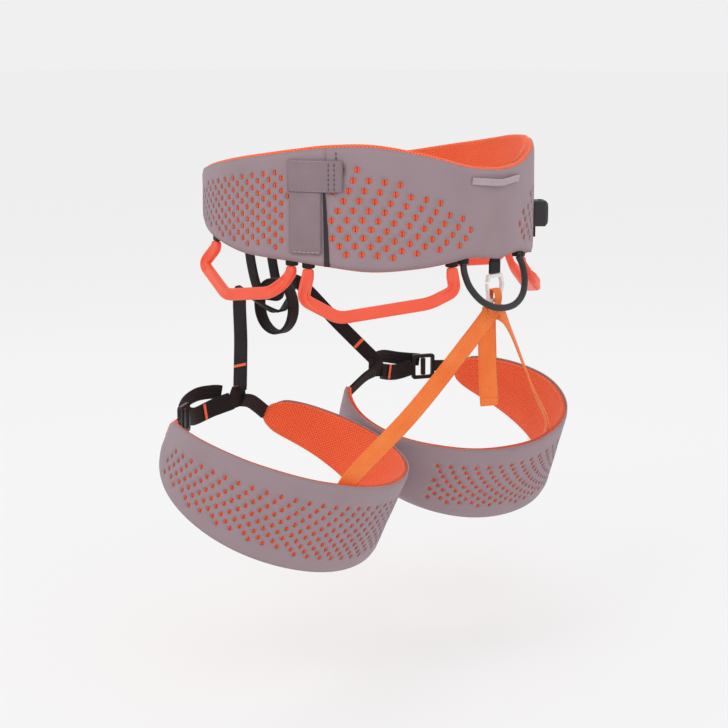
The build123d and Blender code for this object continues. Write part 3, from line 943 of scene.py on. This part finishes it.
strap("riser_bight_tape", bight, 9 * MM, 1.6 * MM, ACROSS, *RISER, ["riser_bight"], ridges=5)

# Each waist webbing comes to the front of the buckle's outer bar and folds back behind it.
bar_low, bar_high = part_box("waist_buckle_frame")
FRONT_Y, BACK_Y = bar_low.y / MM - 1.3, bar_high.y / MM + 1.3
MID_Y = (FRONT_Y + BACK_Y) / 2
WRAP = [(18.2, FRONT_Y + 1.2), (14.6, FRONT_Y), (11.4, FRONT_Y), (9.4, MID_Y), (11.4, BACK_Y),
        (15.4, BACK_Y), (24, BACK_Y + 1.6)]
for side, word in SIDES:
    line = [around(a, 140, 0) for a in (150, 156, 164, 170)] + millimetres([(x, y, 0) for x, y in WRAP])
    strap(f"waist_tape_{word}", line, WAIST_WIDTH, WAIST_T, UP, *BLACK, [f"waist_webbing_{word}"], side=side,
          per=6)
    for k in range(3):
        row = millimetres([(side * (24.5 + k * 1.3), FRONT_Y + 1.35 + k * 0.2, z) for z in (-9, 9)])
        stitches(f"waist_{word}_tack_{k}", row, FRONT, THREAD_DARK, 0.002, 0.0003)
strap("waist_tail_tape", [around(-176 + 8 * k, 149.5, 0) for k in range(9)], WAIST_WIDTH, WAIST_T, UP, *BLACK,
      ["waist_strap_tail"], "waist_tail")
tie = both_ways([(14, -139.2, -13.4), (14, -139, -18), (14, -137, -60), (13, -129, -92), (9, -122, -102),
                 (0, -119.5, -105)])
strap("tie_in_tape", millimetres(tie), 12 * MM, 2.6 * MM, (0, 1, 0), *BLACK, ["upper_tie_in_loop"])
bridge = both_ways([(92, -70.5, -172), (66, -96, -135), (38, -125, -93), (24, -121, -103), (8, -114, -114),
                    (0, -112.5, -115.5)])
BRIDGE_TURNS = [(0, 1, -0.35), (0, 1, -0.35), (-0.1, 0.9, 0.2), (-0.43, 0.23, 0.87), (-0.43, 0.23, 0.87)]
strap("bridge_tape", millimetres(bridge), LEG_WIDTH, LEG_T, BRIDGE_TURNS, *BLACK, ["leg_bridge"])

# The belay loop's last point laps over its first run, so the loop closes without a gap.
belay = []
for k in range(48):
    a = 2 * math.pi * k / 48
    belay.append(Vector((0, -116 + 22.3 * math.cos(a), -111 + 25.3 * math.sin(a))) * MM)
belay.append(belay[0] + (belay[1] - belay[0]) * 0.6)
belay_tape = sweep("belay_tape", belay, ACROSS, flat_profile(14 * MM, 3.0 * MM), *BLACK, "belay_ring")
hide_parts("belay_loop")

# The straps at the front of each leg loop, for the left one: strap() mirrors them.
BUCKLE = Vector((160, -69, -186)) * MM
ALONG = Vector((0.88, 0.47, 0)).normalized()
OUT = ALONG.cross(UP)
JUNCTION = Vector((92, -70, -177)) * MM
leg_up = (leg[1].at_turn(0, 0.001, 0) - leg[1].at_turn(0, 0, 0)).normalized()
medial_tip = leg[1].at_turn(LEG_MEDIAL_TIP, 0, 0)
lateral_tip = leg[1].at_turn(LEG_LATERAL_TIP, 0, 0)
medial_line = [JUNCTION + Vector((-3, 0, -4)) * MM, Vector((76, -72, -185)) * MM,
               medial_tip + (medial_tip - JUNCTION).normalized() * 2 * MM]
load_middle = millimetres([(113, -83, -186), (134, -83, -190)])
load_line = [JUNCTION + Vector((9, -2, -3)) * MM, *load_middle, BUCKLE - ALONG * 12 * MM]
tip_line = [BUCKLE + ALONG * 11.5 * MM, (BUCKLE + ALONG * 12 * MM + lateral_tip) / 2, lateral_tip]
tail_line = [BUCKLE + OUT * 5 * MM - ALONG * 2 * MM + Vector((0, 0, 6)) * MM]
tail_line += millimetres([(143, -88, -177.5), (125, -91.5, -173.5), (109, -88.6, -173), (101, -85, -174)])
tongue_line = [lateral_tip + (BUCKLE - lateral_tip).normalized() * d * MM for d in (-3, 1, 5, 8)]
BRIDGE_TACK_TURNS = {1: Vector((0, 1, -0.35)), -1: Vector((0.43, 0.23, 0.87))}
JUNCTION_ROWS = (((-8, 7), (10, -8)), ((-9, -8), (8, 7)), ((-6, 8.5), (4, 8.5)))
for side, word in SIDES:
    strap(f"medial_tape_{word}", medial_line, LEG_WIDTH, LEG_T, leg_up, *BLACK, [f"leg_medial_strap_{word}"],
          side=side)
    strap(f"load_tape_{word}", load_line, 16 * MM, LEG_T, UP, *BLACK, [f"leg_load_strap_{word}"], side=side)
    strap(f"tip_tape_{word}", tip_line, LEG_WIDTH, LEG_T, leg_up, *BLACK, [f"leg_tip_strap_{word}"],
          side=side)
    strap(f"tail_tape_{word}", tail_line, LEG_WIDTH, 2.0 * MM, (0, 0.15, 1), *BLACK,
          [f"leg_strap_tail_{word}"], f"leg_tail_{word}", side=side)
    strap(f"tip_tongue_{word}", tongue_line, 15 * MM, 4.0 * MM, leg_up, PLASTIC, "mesh_fabric", None,
          side=side)
    tack(f"load_{word}_tack", *load_middle, UP, 7.6, 1.5, side)
    tack(f"bridge_{word}_tack", *millimetres(bridge[:2]), BRIDGE_TACK_TURNS[side], 6.0, 1.5, side)
    for k, ends in enumerate(JUNCTION_ROWS):
        row = mirrored([JUNCTION + Vector((x + 1, -4.6, z)) * MM for x, z in ends], side)
        stitches(f"junction_{word}_tack_{k}", row, FRONT, THREAD_ORANGE, 0.0022, 0.0009)

# --- Leg loops ----------------------------------------------------------------------------------
LEG_PAD_OUT = 3.2 * MM
for side, word in SIDES:
    band = leg[side]
    pad(f"leg_pad_{word}", band, 0.0, band.length, -4.0 * MM, LEG_PAD_OUT, -1.0 * MM, -1.0 * MM, LINING,
        [f"leg_foam_core_{word}", f"leg_mesh_lining_{word}"], 0.014)
    holes = dots(band, band.length * 0.07, band.length * 0.68, 1.95, 11.4 * MM, (-2.6, -0.22),
                 (5.8, -0.09, 14.5), lambda s: 15 + 5 * ease(band.share(s) / 0.35),
                 lambda s: 9 + 5 * ease(band.share(s) / 0.3))
    perforated(f"leg_shell_{word}_knit", band, 0.004, band.length - 0.004, 4.0 * MM, 1.1 * MM, holes,
               [f"leg_shell_{word}"], (0.012, 0.012))
    dot_threads(f"leg_{word}_dot_ribs", band, holes, LEG_PAD_OUT)

# --- CAD nodes that keep their shape ------------------------------------------------------------
KEPT = {
    ALLOY: ["waist_buckle_frame", "waist_buckle_slider", "leg_buckle_frame_left", "leg_buckle_frame_right",
            "leg_buckle_slider_left", "leg_buckle_slider_right"],
    HOOK: ["riser_hook", "hook_gate"],
    CLIP: ["accessory_clip"],
    BLACK_TAPE: ["riser_tab", "waist_tail_keeper", "leg_junction_left", "leg_junction_right",
                 "accessory_clip_tag"],
}
for mat, names in KEPT.items():
    for name in names:
        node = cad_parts[name]
        node.data.materials.clear()
        node.data.materials.append(mat)
        if mat is not BLACK_TAPE:
            edge = node.modifiers.new("edge", "BEVEL")
            edge.width = 0.0005
            edge.segments = 2
            edge.limit_method = "ANGLE"

# --- Floor, light, camera -------------------------------------------------------------------------
FLOOR_DROP = 0.10
FLOOR_HALF = 60.0
FLOOR_GLOW = 0.465
BACKDROP = 0.87
# The floor's own glow makes it as pale as the backdrop.
floor_mat = Nodes("floor_paint", (0.45, 0.45, 0.45), 1.0, Specular_IOR_Level=0.0)
floor_mat.shader.inputs["Emission Color"].default_value = (1, 1, 1, 1)
floor_mat.shader.inputs["Emission Strength"].default_value = FLOOR_GLOW
grain = floor_mat.noise(floor_mat.place(), 3.0)
floor_mat.tint(grain, (0.447, 0.447, 0.447), (0.453, 0.453, 0.453))
floor_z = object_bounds()[0].z - FLOOR_DROP
floor_corners = [(x * FLOOR_HALF, y * FLOOR_HALF, floor_z) for x, y in ((-1, -1), (1, -1), (1, 1), (-1, 1))]
floor = make("floor", floor_corners, [(0, 1, 2, 3)], floor_mat.material, None)

world = bpy.data.worlds.new("studio")
bpy.context.scene.world = world
world.use_nodes = True
world.node_tree.nodes["Background"].inputs[0].default_value = (1, 1, 1, 1)
world.node_tree.nodes["Background"].inputs[1].default_value = BACKDROP

AZIMUTH = math.radians(132)
ELEVATION = math.radians(10.9)
TOWARD = Vector((math.sin(AZIMUTH), -math.cos(AZIMUTH), 0))
RIGHT = Vector((math.cos(AZIMUTH), math.sin(AZIMUTH), 0))


def soft_light(name, right, toward, up, size, power):
    """A square lamp placed as the camera sees the harness, and aimed at its middle."""
    lamp = bpy.data.lights.new(name, "AREA")
    lamp.size = size
    lamp.energy = power
    obj = bpy.data.objects.new(name, lamp)
    obj.location = RIGHT * right + TOWARD * toward + Vector((0, 0, up))
    aim = Vector((0, 0, -0.1)) - obj.location
    obj.rotation_euler = aim.to_track_quat("-Z", "Y").to_euler()
    bpy.context.scene.collection.objects.link(obj)


soft_light("key", -1.2, 1.3, 1.3, 1.0, 7)
soft_light("fill", 1.5, 0.9, 0.5, 1.2, 2)
soft_light("top", 0.1, -0.6, 1.6, 1.4, 4)

camera_data = bpy.data.cameras.new("camera")
camera = bpy.data.objects.new("camera", camera_data)
bpy.context.scene.collection.objects.link(camera)
bpy.context.scene.camera = camera
AIM = Vector((0.0024, -0.0027, -0.152))
DISTANCE = 1.426
camera_data.lens = 78.3
camera_data.sensor_width = 36.0
camera_data.clip_start = 0.05
back_way = TOWARD * math.cos(ELEVATION) + Vector((0, 0, math.sin(ELEVATION)))
camera.location = AIM + back_way * DISTANCE
camera.rotation_euler = (-back_way).to_track_quat("-Z", "Y").to_euler()
bpy.context.scene.view_settings.view_transform = "Standard"
